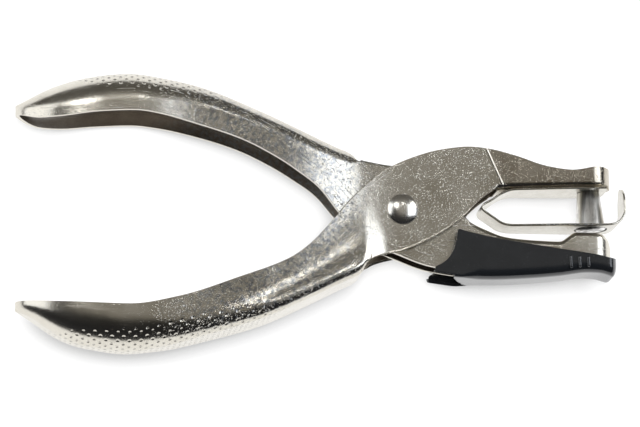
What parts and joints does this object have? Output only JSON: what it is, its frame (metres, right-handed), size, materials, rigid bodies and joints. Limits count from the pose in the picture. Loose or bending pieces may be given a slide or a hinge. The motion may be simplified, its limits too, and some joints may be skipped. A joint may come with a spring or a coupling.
{
  "type": "plier hole punch",
  "caption": "Hand-held plier-type paper punch: two pressed channel levers on a rivet, round punch pin, die jaw, spring stripper and slide-on chip receiver.",
  "frame": {"origin": "middle of the outline's box on the side that the punch lies on", "axes": "+X towards the jaws, +Y from the lower handle in the picture to the upper one, +Z along the pivot rivet, away from the table"},
  "size_m": [0.1303, 0.0602, 0.0156],
  "materials": {
    "nickel_plate": "nickel-plated pressed steel sheet",
    "rivet_steel": "plated steel",
    "spring_steel": "plated spring steel",
    "tool_steel": "ground and polished tool steel",
    "black_plastic": "glossy moulded black plastic"
  },
  "bodies": {
    "die_lever": {"die_lever": "nickel_plate", "pivot_bush": "rivet_steel", "opening_spring": "spring_steel"},
    "punch_lever": {"punch_lever": "nickel_plate", "pivot_rivet": "rivet_steel", "punch_pin": "tool_steel", "stripper_spring": "spring_steel"},
    "stripper": {"stripper_blade": "spring_steel"},
    "chip_receiver": {"chip_receiver": "black_plastic"}
  },
  "joints": [
    {"name": "pivot", "type": "hinge", "parent": "die_lever", "child": "punch_lever", "pos_m": [0.01685, 0.00081, 0.0078], "axis": [0, 0, -1], "range_deg": [0, 5], "stiffness_Nm_per_rad": 0.8, "springref_deg": -22.92, "deforming": ["opening_spring"]},
    {"name": "stripper_flex", "type": "hinge", "parent": "punch_lever", "child": "stripper", "pos_m": [0.03492, 0.00156, 0.0078], "axis": [0, 0, 1], "range_deg": [0, 7]},
    {"name": "receiver_slide", "type": "slide", "parent": "die_lever", "child": "chip_receiver", "axis": [1, 0, 0], "range_m": [0, 0.045]}
  ],
  "couplings": [
    {"joint": "stripper_flex", "follows": "pivot", "ratio": 1.33}
  ]
}
